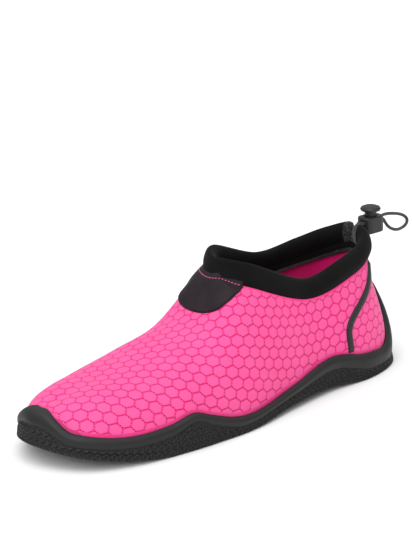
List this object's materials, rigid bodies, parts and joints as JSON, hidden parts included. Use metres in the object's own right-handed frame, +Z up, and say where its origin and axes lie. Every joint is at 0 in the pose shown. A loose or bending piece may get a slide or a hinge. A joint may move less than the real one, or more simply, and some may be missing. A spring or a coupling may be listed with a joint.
{
  "type": "water shoe",
  "caption": "Left water shoe: hollow stretch-fabric upper on a rubber cup sole, padded collar, throat patch, seam tapes, and an elastic cord with a spring lock at the heel.",
  "frame": {"origin": "in the flat rest under the heel, on the floor, on the shoe's length line", "axes": "+X to the toe, +Y to the outer side of the foot, +Z up"},
  "size_m": [0.2824, 0.0892, 0.0887],
  "materials": {
    "sole_rubber": "satin moulded rubber",
    "footbed_foam": "matte cloth-faced foam",
    "stretch_fabric": "matte knitted stretch fabric with an embossed honeycomb",
    "collar_neoprene": "matte fabric-faced neoprene",
    "patch_rubber": "matte",
    "lock_plastic": "satin moulded plastic",
    "elastic_cord": "woven"
  },
  "bodies": {
    "shoe": {"outsole": "sole_rubber", "insole": "footbed_foam", "upper": "stretch_fabric", "collar": "collar_neoprene", "vamp_tab": "patch_rubber", "side_tape_outer": "sole_rubber", "side_tape_inner": "sole_rubber", "cord_lock_body": "lock_plastic", "draw_cord_outer": "elastic_cord", "draw_cord_inner": "elastic_cord", "cord_loop": "elastic_cord"},
    "button": {"cord_lock_button": "lock_plastic"}
  },
  "joints": [
    {"name": "lock_press", "type": "slide", "parent": "shoe", "child": "button", "axis": [0, 0, -1], "range_m": [0, 0.0022], "stiffness_N_per_m": 800}
  ]
}
